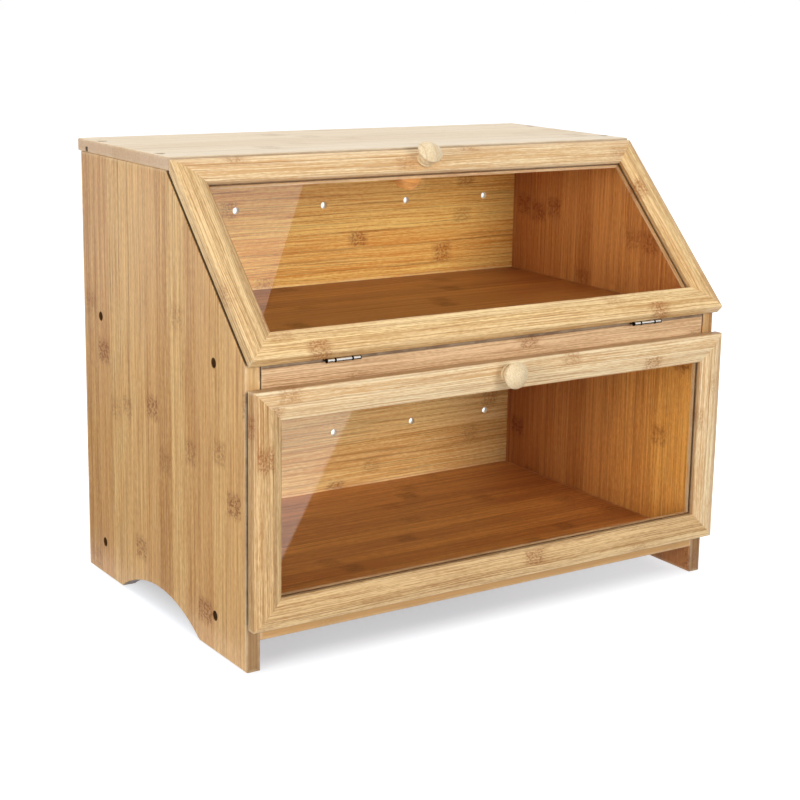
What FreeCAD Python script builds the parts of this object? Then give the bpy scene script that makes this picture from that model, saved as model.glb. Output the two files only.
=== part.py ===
import FreeCAD, Part
import math
import os
from FreeCAD import Placement, Rotation, Vector

os.makedirs("parts", exist_ok=True)

# Bamboo bread box with two compartments, one above the other, each behind a framed, windowed
# door that drops open on two butt hinges.
#
# Cabinet frame: X runs across the width from the middle, Z up from the table, and Y back from
# the front edges of the side panels. The last section moves everything to the part's own
# origin, which is under the middle of the whole box. All sizes are in millimetres.

# ---- Cabinet boards ------------------------------------------------------------------------
cabinet_width = 390.0            # outer face to outer face of the side panels
cabinet_depth = 250.0            # side panels, front edge to back edge
cabinet_height = 320.0           # table to the top face of the top panel
side_thickness = 10.0
top_thickness = 9.0
top_depth = 150.0                # front edge to back edge of the top panel
top_overhang = 5.0               # top panel past the back edges of the side panels
ledge_height = 200.0             # table to the top face of the middle shelf
shelf_thickness = 9.8
bottom_shelf_height = 30.0       # table to the top face of the bottom shelf
shelf_back_setback = 1.0         # shelves short of the back edges of the side panels
front_rail_thickness = 10.0      # rail along the front edge of the middle shelf
front_rail_height = 32.0
side_lip = 1.0                   # foot of the sloping edge above the middle shelf
slope_setback = 5.0              # head of the sloping edge behind the top panel's front edge
board_gap = 0.15                 # between a shelf's end and a side panel
rail_end_gap = 0.9               # between the front rail's end and a side panel
board_rounding = 1.2

# ---- Arch cut in the foot of each side panel -------------------------------------------------
arch_width = 124.0
arch_rise = 18.0
arch_centre = 129.0              # from the panel's front edge

# ---- Back panels, held in grooves -------------------------------------------------------------
back_thickness = 4.0
back_setback = 13.0              # front face of the back panels, from the side panels' back edge
groove_depth = 4.0
groove_play = 0.15               # on each side of the panel
groove_end_play = 0.3            # between a panel's edge and the bottom of its groove
vent_radius = 2.7
vent_count = 5
upper_vent_spacing = 77.0
upper_vent_height = 62.0         # above the middle shelf
lower_vent_spacing = 75.0
lower_vent_height = 48.0         # above the bottom shelf
lower_vent_shift = 11.0          # lower row's middle hole, from the middle of the box

# ---- Doors -------------------------------------------------------------------------------------
door_thickness = 11.0
door_gap = 1.4                   # between a closed door and the edges behind it
door_top_gap = 0.7               # between the upper door and the top panel's front edge
door_reveal = 13.5               # strip of the front rail that shows above the lower door
lower_door_lift = 0.2            # lower door's bottom edge above the bottom shelf's top face
upper_door_lift = 0.7            # upper door's bottom edge beyond its hinge pin
frame_width = 20.0
outer_bevel_width = 5.5
outer_bevel_depth = 1.8
inner_bevel_width = 7.0
inner_bevel_depth = 2.4
frame_front_rounding = 1.0       # outer edge, in front
frame_back_rounding = 2.5        # outer edge, behind
window_thickness = 2.0
window_back_lip = 3.5            # wood behind the window's groove
window_groove_play = 0.15        # on each face of the window
window_groove_depth = 5.0
window_edge_play = 0.5           # between the window's edge and the bottom of its groove

# ---- Knobs --------------------------------------------------------------------------------------
knob_length = 15.0
knob_shift = -2.5                # knobs, from the middle of the box
knob_head_radius = 9.5           # to the rim, before it is rounded
knob_dome_height = 5.0
knob_rim_rounding = 1.8
knob_neck_radius = 4.6
knob_neck_height = 4.5
knob_base_radius = 5.8
knob_base_height = 1.6
upper_knob_edge_distance = 12.3  # knob's middle from the door's top edge
lower_knob_edge_distance = 8.0
knob_screw_radius = 1.9
knob_screw_reach = 8.0           # into the knob
knob_screw_head_radius = 3.2
knob_screw_head_height = 2.0
knob_screw_sink = 0.6            # head below the back face of the door
knob_screw_play = 0.1

# ---- Hinges ---------------------------------------------------------------------------------------
hinge_end_distance = 68.0        # from the door's end to the hinge's middle
hinge_length = 25.5
hinge_middle_knuckle = 12.8
hinge_leaf_width = 12.0          # from the pin's axis
hinge_leaf_thickness = 0.8
knuckle_radius = 1.5
knuckle_play = 0.3               # round and between the knuckles
barrel_end_room = 2.0            # past each end of the pin, in the boards
pin_radius = 0.75
pin_running_clearance = 0.05
pin_end = 0.4                    # pin past each end of the knuckles
hinge_screw_spacing = 15.0
hinge_screw_distance = 7.5       # from the pin's axis
hinge_screw_radius = 1.0
hinge_screw_head_radius = 1.9
hinge_screw_length = 6.0
leaf_mortise_play = 0.1

# ---- Screws that hold the cabinet together -----------------------------------------------------------
panel_screw_radius = 1.7
panel_screw_length = 30.0
panel_screw_head_radius = 3.3
panel_screw_head_height = 2.2
panel_screw_sink = 3.0           # head below the face of the board
panel_screw_head_play = 0.2
screw_play = 0.05                # round every shank
side_screw_front = 43.0          # from the front edges of the side panels
side_screw_back = 30.0           # from their back edges
top_screw_front = 23.0           # from the top panel's front edge
top_screw_back = 32.0            # from its back edge
drive_recess_length = 3.4
drive_recess_width = 0.8
drive_recess_depth = 1.2

# ---- Magnetic catches ----------------------------------------------------------------------------------
catch_shift = -10.5              # catches, from the middle of the box
catch_block_radius = 9.8
catch_block_thickness = 8.0
magnet_radius = 3.6
magnet_thickness = 2.5
magnet_proud = 0.4               # magnet past the face that it is set in
strike_radius = 4.0
strike_thickness = 0.8
upper_strike_edge_distance = 13.0  # strike plate's middle from the door's top edge
lower_strike_edge_distance = 10.0
strike_screw_radius = 1.0
strike_screw_head_radius = 1.8
strike_screw_length = 5.0

# ---- Worked out from the sizes above --------------------------------------------------------------------
half_width = cabinet_width / 2
inner_half = half_width - side_thickness
side_height = cabinet_height - top_thickness
shelf_half = inner_half - board_gap
front_rail_half = inner_half - rail_end_gap
shelf_back = cabinet_depth - shelf_back_setback
bottom_shelf_underside = bottom_shelf_height - shelf_thickness
middle_shelf_underside = ledge_height - shelf_thickness
front_rail_underside = ledge_height - front_rail_height
back_face = cabinet_depth - back_setback
back_half = inner_half + groove_depth - groove_end_play
top_back = cabinet_depth + top_overhang
top_front = top_back - top_depth

slope_foot = Vector(0, 0, ledge_height + side_lip)
slope_head = Vector(0, top_front + slope_setback, side_height)
slope_angle = math.degrees(math.atan2(slope_head.z - slope_foot.z, slope_head.y))
up_slope = (slope_head - slope_foot).normalize()
off_slope = Vector(0, -up_slope.z, up_slope.y)

# Hinge pins: the middle planes of both leaves meet on the pin's axis.
leaf_half = hinge_leaf_thickness / 2
pin_lead = door_gap + leaf_half
lower_pin = Vector(0, -pin_lead, bottom_shelf_height - leaf_half)
upper_pin_height = ledge_height - leaf_half
upper_leaf_plane = off_slope.dot(slope_foot) + pin_lead
upper_pin = Vector(0, (off_slope.z * upper_pin_height - upper_leaf_plane) / up_slope.z, upper_pin_height)
hinge_places = {"left": hinge_end_distance - half_width, "right": half_width - hinge_end_distance}
middle_knuckle_end = hinge_middle_knuckle / 2

# Each door has a frame of its own: X across, Y back from its back face, Z up from its bottom edge.
lower_pin_drop = bottom_shelf_height + lower_door_lift - lower_pin.z
lower_door_height = ledge_height - door_reveal - bottom_shelf_height - lower_door_lift
lower_door_place = Placement(Vector(0, -door_gap, bottom_shelf_height + lower_door_lift), Rotation())
upper_pin_drop = upper_door_lift
upper_door_back_foot = upper_pin + up_slope * upper_pin_drop - off_slope * leaf_half
upper_door_front_foot = upper_door_back_foot + off_slope * door_thickness
upper_door_height = (cabinet_height - upper_door_front_foot.z) / up_slope.z
upper_door_place = Placement(upper_door_back_foot, Rotation(Vector(1, 0, 0), slope_angle - 90))
upper_knob_rise = upper_door_height - upper_knob_edge_distance
lower_knob_rise = lower_door_height - lower_knob_edge_distance
upper_strike_rise = upper_door_height - upper_strike_edge_distance
lower_strike_rise = lower_door_height - lower_strike_edge_distance

whole_front = -(door_gap + door_thickness + knob_length)
origin = Vector(0, (whole_front + top_back) / 2, 0)

ALONG_X = Vector(1, 0, 0)
ALONG_Y = Vector(0, 1, 0)
ALONG_Z = Vector(0, 0, 1)


# ---- Shapes used many times --------------------------------------------------------------------------------
def box(x_low, x_high, y_low, y_high, z_low, z_high):
    """Box between two corners."""
    return Part.makeBox(x_high - x_low, y_high - y_low, z_high - z_low, Vector(x_low, y_low, z_low))


def rod(radius, length, start, direction):
    """Round rod from a start point."""
    return Part.makeCylinder(radius, length, start, direction)


def prism(points, sweep):
    """Solid with a flat outline, swept straight."""
    return Part.Face(Part.makePolygon(points + points[:1])).extrude(sweep)


def placed(shape, place):
    """Copy of a shape at a placement."""
    moved = shape.copy()
    moved.Placement = place.multiply(moved.Placement)
    return moved


def rounded(shape, radius, picks):
    """Shape with the edges that picks() accepts rounded."""
    edges = [edge for edge in shape.Edges if picks(edge)]
    return shape.makeFillet(radius, edges)


def spans(edge, low, high):
    """True if both ends of an edge lie between two corners."""
    corners = [vertex.Point for vertex in edge.Vertexes]
    inside = [low.x <= p.x <= high.x and low.y <= p.y <= high.y and low.z <= p.z <= high.z for p in corners]
    return all(inside)


def along(edge, direction):
    """True if an edge is straight and parallel to a direction."""
    run = edge.Vertexes[-1].Point - edge.Vertexes[0].Point
    return run.Length > 0 and abs(abs(run.normalize().dot(direction)) - 1) < 1e-6


# ---- Screws ---------------------------------------------------------------------------------------------------
def drive_recess(face, direction):
    """Cross for the driver in a screw's head."""
    half_length = drive_recess_length / 2
    half_width = drive_recess_width / 2
    arm = box(-half_length, half_length, -half_width, half_width, 0, drive_recess_depth)
    cross = arm.fuse(arm.rotated(Vector(), ALONG_Z, 90))
    return placed(cross, Placement(face, Rotation(ALONG_Z, direction)))


def panel_screw(face, direction):
    """Wood screw, with its head sunk below a board's face."""
    seat = face + direction * panel_screw_sink
    head = rod(panel_screw_head_radius, panel_screw_head_height, seat, direction)
    shank = rod(panel_screw_radius, panel_screw_length, seat, direction)
    return head.fuse(shank).removeSplitter().cut(drive_recess(seat, direction))


def panel_screw_hole(face, direction):
    """Counterbored hole for a panel screw."""
    bore_depth = panel_screw_sink + panel_screw_head_height
    counterbore = rod(panel_screw_head_radius + panel_screw_head_play, bore_depth, face, direction)
    shank = rod(panel_screw_radius + screw_play, panel_screw_sink + panel_screw_length, face, direction)
    return counterbore.fuse(shank)


def flat_screw(face, direction, head_radius, shank_radius, head_height, length, play=0.0):
    """Countersunk screw, or its hole where play is given."""
    top = head_radius + play
    foot = shank_radius + play
    head = Part.makeCone(top, foot, head_height, face, direction)
    shank = rod(foot, length + play, face + direction * head_height, direction)
    return head.fuse(shank)


def side_screw_faces(outward):
    """Points on a side panel's outer face where its screws go in."""
    x = outward * half_width
    heights = [(bottom_shelf_underside + bottom_shelf_height) / 2, (middle_shelf_underside + ledge_height) / 2]
    depths = [side_screw_front, cabinet_depth - side_screw_back]
    return [Vector(x, y, z) for y in depths for z in heights]


def top_screw_faces(outward):
    """Points on the top panel over one side panel where its screws go in."""
    x = outward * (half_width - side_thickness / 2)
    depths = [top_front + top_screw_front, top_back - top_screw_back]
    return [Vector(x, y, cabinet_height) for y in depths]


# ---- Cabinet boards --------------------------------------------------------------------------------------------
def arch_cut():
    """Segment of a circle that opens the foot of a side panel."""
    half_chord = arch_width / 2
    radius = (half_chord ** 2 + arch_rise ** 2) / (2 * arch_rise)
    centre = Vector(-cabinet_width, arch_centre, arch_rise - radius)
    return rod(radius, 2 * cabinet_width, centre, ALONG_X)


def back_groove(half_length, floor, head):
    """Room for the back panels' edges."""
    front = back_face - groove_play
    back = back_face + back_thickness + groove_play
    return box(-half_length, half_length, front, back, floor, head)


def side_panel(outward):
    """Side panel: sloping front above the ledge, arch at the foot, groove inside."""
    inner_face = outward * inner_half
    corners = [(0, 0), (cabinet_depth, 0), (cabinet_depth, side_height), (slope_head.y, side_height), (0, slope_foot.z)]
    outline = [Vector(inner_face, y, z) for y, z in corners]
    panel = prism(outline, Vector(outward * side_thickness, 0, 0)).cut(arch_cut())
    outer_face = outward * half_width
    low = Vector(outer_face - 0.01, -1, -1)
    high = Vector(outer_face + 0.01, cabinet_depth + 1, cabinet_height)
    panel = rounded(panel, board_rounding, lambda edge: spans(edge, low, high))
    panel = panel.cut(back_groove(inner_half + groove_depth, bottom_shelf_height, side_height))
    for face in side_screw_faces(outward):
        panel = panel.cut(panel_screw_hole(face, Vector(-outward, 0, 0)))
    for face in top_screw_faces(outward):
        panel = panel.cut(panel_screw_hole(face, -ALONG_Z))
    return panel


def top_panel():
    """Top panel, on the side panels, with a groove for the upper back panel."""
    panel = box(-half_width, half_width, top_front, top_back, side_height, cabinet_height)
    panel = panel.makeFillet(board_rounding, panel.Edges)
    panel = panel.cut(back_groove(cabinet_width, side_height - 1, side_height + groove_depth))
    for outward in (-1, 1):
        for face in top_screw_faces(outward):
            panel = panel.cut(panel_screw_hole(face, -ALONG_Z))
    return panel


def back_panel(floor, head, vent_height, vent_spacing, vent_shift):
    """Thin back panel with a row of vent holes."""
    panel = box(-back_half, back_half, back_face, back_face + back_thickness, floor, head)
    for index in range(vent_count):
        x = vent_shift + vent_spacing * (index - (vent_count - 1) / 2)
        panel = panel.cut(rod(vent_radius, back_thickness, Vector(x, back_face, floor + vent_height), ALONG_Y))
    return panel


def shelf(front, top):
    """Shelf between the side panels, with its screws' holes and its front edges rounded."""
    underside = top - shelf_thickness
    board = box(-shelf_half, shelf_half, front, shelf_back, underside, top)
    for outward in (-1, 1):
        for face in side_screw_faces(outward):
            if underside < face.z < top:
                board = board.cut(panel_screw_hole(face, Vector(-outward, 0, 0)))
    return board


def bottom_shelf():
    """Bottom shelf, with the lower hinges let into its front edge."""
    board = shelf(0, bottom_shelf_height)
    front_edge = Vector(-half_width, -0.01, bottom_shelf_underside - 0.01)
    front_end = Vector(half_width, 0.01, bottom_shelf_underside + 0.01)
    board = rounded(board, board_rounding, lambda edge: spans(edge, front_edge, front_end) and along(edge, ALONG_X))
    return board.cut(fixed_leaf_mortises(lower_pin))


def middle_front_rail():
    """Rail along the middle shelf's front edge: it carries the upper hinges and the lower catch."""
    rail = box(-front_rail_half, front_rail_half, 0, front_rail_thickness, front_rail_underside, ledge_height)
    rail = rail.cut(fixed_leaf_mortises(upper_pin))
    return rail.cut(lower_magnet())


# ---- Door frames ---------------------------------------------------------------------------------------------------
def frame_bar(length):
    """Straight frame bar along X, outer edge at Z = 0, groove for the window along its inner edge."""
    groove_near = window_back_lip
    groove_far = window_back_lip + window_thickness + 2 * window_groove_play
    groove_floor = frame_width - window_groove_depth
    section = [
        (0, 0),
        (0, door_thickness - outer_bevel_depth),
        (outer_bevel_width, door_thickness),
        (frame_width - inner_bevel_width, door_thickness),
        (frame_width, door_thickness - inner_bevel_depth),
        (frame_width, groove_far),
        (groove_floor, groove_far),
        (groove_floor, groove_near),
        (frame_width, groove_near),
        (frame_width, 0),
    ]
    outline = [Vector(-length / 2, -depth, height) for height, depth in section]
    bar = prism(outline, Vector(length, 0, 0))
    for depth, radius in ((door_thickness - outer_bevel_depth, frame_front_rounding), (0, frame_back_rounding)):
        low = Vector(-length, -depth - 0.01, -0.01)
        high = Vector(length, 0.01 - depth, 0.01)
        bar = rounded(bar, radius, lambda edge: along(edge, ALONG_X) and spans(edge, low, high))
    return bar


def mitred(bar, length):
    """Bar cut at 45 degrees at both ends."""
    reach = 2 * frame_width
    half = length / 2
    outline = [
        Vector(-half, 1, 0),
        Vector(half, 1, 0),
        Vector(half - reach, 1, reach),
        Vector(reach - half, 1, reach),
    ]
    return bar.common(prism(outline, Vector(0, -door_thickness - 2, 0)))


def door_frame(height):
    """The four mitred bars of a door, in the door's frame."""
    rail = mitred(frame_bar(cabinet_width), cabinet_width)
    stile = mitred(frame_bar(height), height)
    middle = Vector(0, 0, height / 2)
    left_stile = stile.rotated(Vector(), ALONG_Y, 90).translated(Vector(-half_width, 0, height / 2))
    return {
        "bottom_rail": rail,
        "top_rail": rail.rotated(middle, ALONG_Y, 180),
        "left_stile": left_stile,
        "right_stile": left_stile.rotated(middle, ALONG_Y, 180),
    }


def window(height):
    """Clear sheet held in the grooves of a door's frame."""
    reach = frame_width - window_groove_depth + window_edge_play
    back = -window_back_lip - window_groove_play
    return box(reach - half_width, half_width - reach, back - window_thickness, back, reach, height - reach)


# ---- Knobs ----------------------------------------------------------------------------------------------------------
def knob(rise):
    """Mushroom knob, turned about an axis that points out of the door, its middle at a rise up the door."""
    rim_height = knob_length - knob_dome_height
    rim = Vector(knob_head_radius, 0, rim_height)
    crown = Vector(0, 0, knob_length)
    cap_radius = (knob_head_radius ** 2 + knob_dome_height ** 2) / (2 * knob_dome_height)
    half_turn = math.asin(knob_head_radius / cap_radius) / 2
    shoulder_drop = cap_radius * (1 - math.cos(half_turn))
    shoulder = Vector(cap_radius * math.sin(half_turn), 0, knob_length - shoulder_drop)
    dome = Part.Arc(rim, shoulder, crown).toShape()
    neck = Vector(knob_neck_radius, 0, knob_neck_height)
    swell = Vector((knob_neck_radius + 3 * knob_head_radius) / 4, 0, (knob_neck_height + rim_height) / 2)
    underside = Part.Arc(neck, swell, rim).toShape()
    foot = [
        Vector(),
        Vector(knob_base_radius, 0, 0),
        Vector(knob_base_radius, 0, knob_base_height),
        Vector(knob_neck_radius, 0, knob_base_height),
        neck,
    ]
    edges = Part.makePolygon(foot).Edges + [underside, dome, Part.makeLine(crown, Vector())]
    turned = Part.Face(Part.Wire(edges)).revolve(Vector(), ALONG_Z, 360)
    low = Vector(-knob_head_radius, -knob_head_radius, rim_height - 0.01)
    high = Vector(knob_head_radius + 0.01, knob_head_radius, rim_height + 0.01)
    turned = rounded(turned, knob_rim_rounding, lambda edge: spans(edge, low, high))
    face = Vector(knob_shift, -door_thickness, rise)
    body = placed(turned, Placement(face, Rotation(ALONG_Z, -ALONG_Y)))
    return body.cut(knob_screw_hole(rise))


def knob_screw(rise):
    """Screw through the top rail into the knob, put in from behind."""
    seat = Vector(knob_shift, -knob_screw_sink, rise)
    head = rod(knob_screw_head_radius, knob_screw_head_height, seat, -ALONG_Y)
    reach = door_thickness - knob_screw_sink + knob_screw_reach
    screw = head.fuse(rod(knob_screw_radius, reach, seat, -ALONG_Y)).removeSplitter()
    return screw.cut(drive_recess(seat, -ALONG_Y))


def knob_screw_hole(rise):
    """Counterbored hole for a knob's screw."""
    start = Vector(knob_shift, 0, rise)
    counterbore_depth = knob_screw_sink + knob_screw_head_height
    counterbore = rod(knob_screw_head_radius + knob_screw_play, counterbore_depth, start, -ALONG_Y)
    reach = door_thickness + knob_screw_reach + knob_screw_play
    return counterbore.fuse(rod(knob_screw_radius + screw_play, reach, start, -ALONG_Y))


# ---- Hinges, each about its pin's axis: leaf plate towards +Y, knuckles along X ---------------------------------------
def knuckle_spans(of_door_leaf):
    """Stretches of the barrel that belong to one of the two leaves."""
    outer = hinge_length / 2
    inner = middle_knuckle_end + knuckle_play / 2
    if of_door_leaf:
        return [(knuckle_play / 2 - middle_knuckle_end, middle_knuckle_end - knuckle_play / 2)]
    return [(-outer, -inner), (inner, outer)]


def knuckle_clearances(of_door_leaf):
    """Stretches of the barrel that a leaf's plate leaves free for the other leaf."""
    outer = hinge_length / 2 + knuckle_play
    inner = middle_knuckle_end - knuckle_play / 2
    if of_door_leaf:
        return [(-outer, -inner), (inner, outer)]
    return [(-middle_knuckle_end - knuckle_play / 2, middle_knuckle_end + knuckle_play / 2)]


def barrel(x_low, x_high, radius):
    """Stretch of a round bar on the pin's axis."""
    return rod(radius, x_high - x_low, Vector(x_low, 0, 0), ALONG_X)


def leaf_screws(of_door_leaf, play=0.0):
    """A leaf's two screws, or their holes where play is given."""
    side = -1 if of_door_leaf else 1
    screws = []
    for x in (-hinge_screw_spacing / 2, hinge_screw_spacing / 2):
        face = Vector(x, hinge_screw_distance, side * leaf_half)
        into = Vector(0, 0, -side)
        head, shank = hinge_screw_head_radius, hinge_screw_radius
        screws.append(flat_screw(face, into, head, shank, hinge_leaf_thickness, hinge_screw_length, play))
    return Part.makeCompound(screws)


def hinge_leaf(of_door_leaf):
    """Leaf with its own knuckles, bored for the pin and countersunk for its screws."""
    half_length = hinge_length / 2
    leaf = box(-half_length, half_length, 0, hinge_leaf_width, -leaf_half, leaf_half)
    for low, high in knuckle_clearances(of_door_leaf):
        leaf = leaf.cut(barrel(low, high, knuckle_radius + knuckle_play))
    for low, high in knuckle_spans(of_door_leaf):
        leaf = leaf.fuse(barrel(low, high, knuckle_radius))
    leaf = leaf.cut(barrel(-hinge_length, hinge_length, pin_radius + pin_running_clearance))
    return leaf.cut(leaf_screws(of_door_leaf, screw_play))


def leaf_mortise():
    """Room for a leaf, the whole barrel and the swing of the knuckles."""
    half_length = hinge_length / 2 + leaf_mortise_play
    far_edge = hinge_leaf_width + leaf_mortise_play
    recess = box(-half_length, half_length, -knuckle_radius, far_edge, -leaf_half, leaf_half)
    barrel_half = hinge_length / 2 + pin_end + barrel_end_room
    return recess.fuse(barrel(-barrel_half, barrel_half, knuckle_radius + knuckle_play))


def hinge_pin():
    """Pin through all three knuckles."""
    end = hinge_length / 2 + pin_end
    return barrel(-end, end, pin_radius)


def at_pin(pin, leaf_tilt, x):
    """Placement of a hinge on a door's pin axis."""
    return Placement(Vector(x, pin.y, pin.z), Rotation(ALONG_X, leaf_tilt))


def fixed_leaf_mortises(pin):
    """Mortises and screw holes for a door's two fixed leaves."""
    tool = leaf_mortise().fuse(leaf_screws(False, screw_play))
    return Part.makeCompound([placed(tool, at_pin(pin, 0, x)) for x in hinge_places.values()])


def door_leaf_mortises(pin_drop):
    """The same for the door leaves, in the door's frame."""
    pin = Vector(0, -leaf_half, -pin_drop)
    tool = leaf_mortise().fuse(leaf_screws(True, screw_play))
    return Part.makeCompound([placed(tool, at_pin(pin, 90, x)) for x in hinge_places.values()])


# ---- Magnetic catches ---------------------------------------------------------------------------------------------------
def strike_centre(rise):
    """Point on a door's back face where its strike plate sits."""
    return Vector(catch_shift, 0, rise)


def strike_screw(rise, play=0.0):
    """Screw of a strike plate, or its hole where play is given."""
    face = strike_centre(rise)
    head, shank = strike_screw_head_radius, strike_screw_radius
    return flat_screw(face, -ALONG_Y, head, shank, strike_thickness, strike_screw_length, play)


def strike_plate(rise):
    """Steel disc set flush into the back of a door's top rail."""
    disc = rod(strike_radius, strike_thickness, strike_centre(rise), -ALONG_Y)
    return disc.cut(strike_screw(rise, screw_play))


def strike_recess(rise):
    """Room in the top rail for the strike plate and its screw."""
    disc = rod(strike_radius + leaf_mortise_play, strike_thickness, strike_centre(rise), -ALONG_Y)
    return disc.fuse(strike_screw(rise, screw_play))


def magnet(rise):
    """Magnet facing a closed door's strike plate, in the door's frame."""
    face = strike_centre(rise) + ALONG_Y * (door_gap - magnet_proud)
    return rod(magnet_radius, magnet_thickness, face, ALONG_Y)


def lower_magnet():
    """Magnet let into the front rail."""
    return placed(magnet(lower_strike_rise), lower_door_place)


def upper_magnet():
    """Magnet let into the catch block."""
    return placed(magnet(upper_strike_rise), upper_door_place)


def upper_catch_block():
    """Half-round block under the top panel, facing the upper door's top rail."""
    centre = strike_centre(upper_strike_rise) + ALONG_Y * door_gap
    disc = rod(catch_block_radius, catch_block_thickness, centre, ALONG_Y)
    low_x = catch_shift - catch_block_radius
    high_x = catch_shift + catch_block_radius
    stem_top = upper_door_height + cabinet_depth
    stem = box(low_x, high_x, door_gap, door_gap + catch_block_thickness, centre.z, stem_top)
    block = placed(disc.fuse(stem).removeSplitter(), upper_door_place)
    under_top = box(-half_width, half_width, -cabinet_depth, cabinet_depth, 0, side_height)
    return block.common(under_top).cut(upper_magnet())


# ---- Sub-assemblies -------------------------------------------------------------------------------------------------------
def cabinet_nodes():
    """Boards, screws and catch parts that stay still."""
    return {
        "left_side_panel": side_panel(-1),
        "right_side_panel": side_panel(1),
        "top_panel": top_panel(),
        "middle_shelf": shelf(front_rail_thickness, ledge_height),
        "middle_front_rail": middle_front_rail(),
        "bottom_shelf": bottom_shelf(),
        "upper_back_panel": back_panel(
            ledge_height, side_height + groove_depth - groove_end_play, upper_vent_height, upper_vent_spacing, 0
        ),
        "lower_back_panel": back_panel(
            bottom_shelf_height, middle_shelf_underside, lower_vent_height, lower_vent_spacing, lower_vent_shift
        ),
        "left_panel_screws": Part.makeCompound([panel_screw(face, ALONG_X) for face in side_screw_faces(-1)]),
        "right_panel_screws": Part.makeCompound([panel_screw(face, -ALONG_X) for face in side_screw_faces(1)]),
        "top_panel_screws": Part.makeCompound(
            [panel_screw(face, -ALONG_Z) for outward in (-1, 1) for face in top_screw_faces(outward)]
        ),
        "upper_catch_block": upper_catch_block(),
        "upper_catch_magnet": upper_magnet(),
        "lower_catch_magnet": lower_magnet(),
    }


def door_nodes(name, height, place, pin_drop, knob_rise, strike_rise):
    """A door's frame, window, knob and strike plate, where the closed door stands."""
    pieces = door_frame(height)
    pieces["bottom_rail"] = pieces["bottom_rail"].cut(door_leaf_mortises(pin_drop))
    pieces["top_rail"] = pieces["top_rail"].cut(knob_screw_hole(knob_rise)).cut(strike_recess(strike_rise))
    pieces["window"] = window(height)
    pieces["knob"] = knob(knob_rise)
    pieces["knob_screw"] = knob_screw(knob_rise)
    pieces["strike_plate"] = strike_plate(strike_rise)
    pieces["strike_screw"] = strike_screw(strike_rise)
    return {f"{name}_door_{piece}": placed(shape, place) for piece, shape in pieces.items()}


def upper_door_nodes():
    """The upper door, its top end cut upright just in front of the top panel's front edge."""
    nodes = door_nodes(
        "upper", upper_door_height, upper_door_place, upper_pin_drop, upper_knob_rise, upper_strike_rise
    )
    behind = box(-cabinet_width, cabinet_width, top_front - door_top_gap, cabinet_depth, 0, 2 * cabinet_height)
    for bar in ("top_rail", "left_stile", "right_stile"):
        nodes[f"upper_door_{bar}"] = nodes[f"upper_door_{bar}"].cut(behind)
    return nodes


def lower_door_nodes():
    """The lower door."""
    return door_nodes(
        "lower", lower_door_height, lower_door_place, lower_pin_drop, lower_knob_rise, lower_strike_rise
    )


def hinge_nodes(name, pin, door_tilt):
    """A door's two hinges, with their pins and screws."""
    nodes = {}
    for side, x in hinge_places.items():
        nodes[f"{name}_{side}_hinge_fixed_leaf"] = placed(hinge_leaf(False), at_pin(pin, 0, x))
        nodes[f"{name}_{side}_hinge_door_leaf"] = placed(hinge_leaf(True), at_pin(pin, door_tilt, x))
        nodes[f"{name}_{side}_hinge_pin"] = placed(hinge_pin(), at_pin(pin, 0, x))
    fixed = [placed(leaf_screws(False), at_pin(pin, 0, x)) for x in hinge_places.values()]
    moving = [placed(leaf_screws(True), at_pin(pin, door_tilt, x)) for x in hinge_places.values()]
    nodes[f"{name}_hinge_fixed_screws"] = Part.makeCompound([screw for pair in fixed for screw in pair.Solids])
    nodes[f"{name}_hinge_door_screws"] = Part.makeCompound([screw for pair in moving for screw in pair.Solids])
    return nodes


# ---- Write every node, moved to the part's origin ------------------------------------------------------------------------------
all_nodes = cabinet_nodes()
all_nodes.update(upper_door_nodes())
all_nodes.update(lower_door_nodes())
all_nodes.update(hinge_nodes("upper", upper_pin, slope_angle))
all_nodes.update(hinge_nodes("lower", lower_pin, 90))

for node, shape in all_nodes.items():
    shape.translated(-origin).exportStep(f"parts/{node}.step")

for name, pin in (("upper", upper_pin), ("lower", lower_pin)):
    print(f"{name} hinge axis: y {pin.y - origin.y:.3f}, z {pin.z:.3f}")
print(f"doors: upper {upper_door_height:.2f} tall at {slope_angle:.2f} degrees, lower {lower_door_height:.2f} tall")
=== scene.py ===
"""Looks for the bamboo bread box with two drop-front windowed doors.

The CAD nodes keep their meshes. This script gives each of them a procedural material,
and sets up the floor, the studio lamps and the camera of the photograph. Lengths are in
metres unless a name ends in _MM or _mm, and colours in threes are sRGB, 0 to 255,
unless a comment says linear.
"""

import math

import bpy
from mathutils import Matrix, Vector


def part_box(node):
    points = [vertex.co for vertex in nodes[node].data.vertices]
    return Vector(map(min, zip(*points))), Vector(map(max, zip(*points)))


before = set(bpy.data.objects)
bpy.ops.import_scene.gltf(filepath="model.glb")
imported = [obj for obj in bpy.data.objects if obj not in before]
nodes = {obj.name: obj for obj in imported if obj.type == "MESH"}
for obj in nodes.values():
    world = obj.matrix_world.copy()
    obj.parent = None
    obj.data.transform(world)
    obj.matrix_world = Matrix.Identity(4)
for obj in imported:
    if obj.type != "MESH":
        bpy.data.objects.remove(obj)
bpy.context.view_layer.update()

MM = 1000.0

# Camera of the photograph: an 800 x 800 picture, its focal length in pixels and its optical centre.
PICTURE = 800
FOCAL_PX = 1713.56
CENTRE_PX = (432.7, 356.81)
CAMERA_PLACE = Vector((-0.67993, -1.02655, 0.43318))
CAMERA_RIGHT = Vector((0.82776, -0.56071, 0.02056))
CAMERA_DOWN = Vector((-0.10255, -0.18721, -0.97695))
CAMERA_AHEAD = Vector((0.55163, 0.80657, -0.21246))
SENSOR_MM = 36.0
CLIP = (0.05, 100.0)

# Axes of the boards. The upper door is closed at 45 degrees.
X = Vector((1, 0, 0))
Y = Vector((0, 1, 0))
Z = Vector((0, 0, 1))
SLOPE_UP = Vector((0, math.sqrt(0.5), math.sqrt(0.5)))


# ---------------------------------------------------------------- node tree helper


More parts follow.
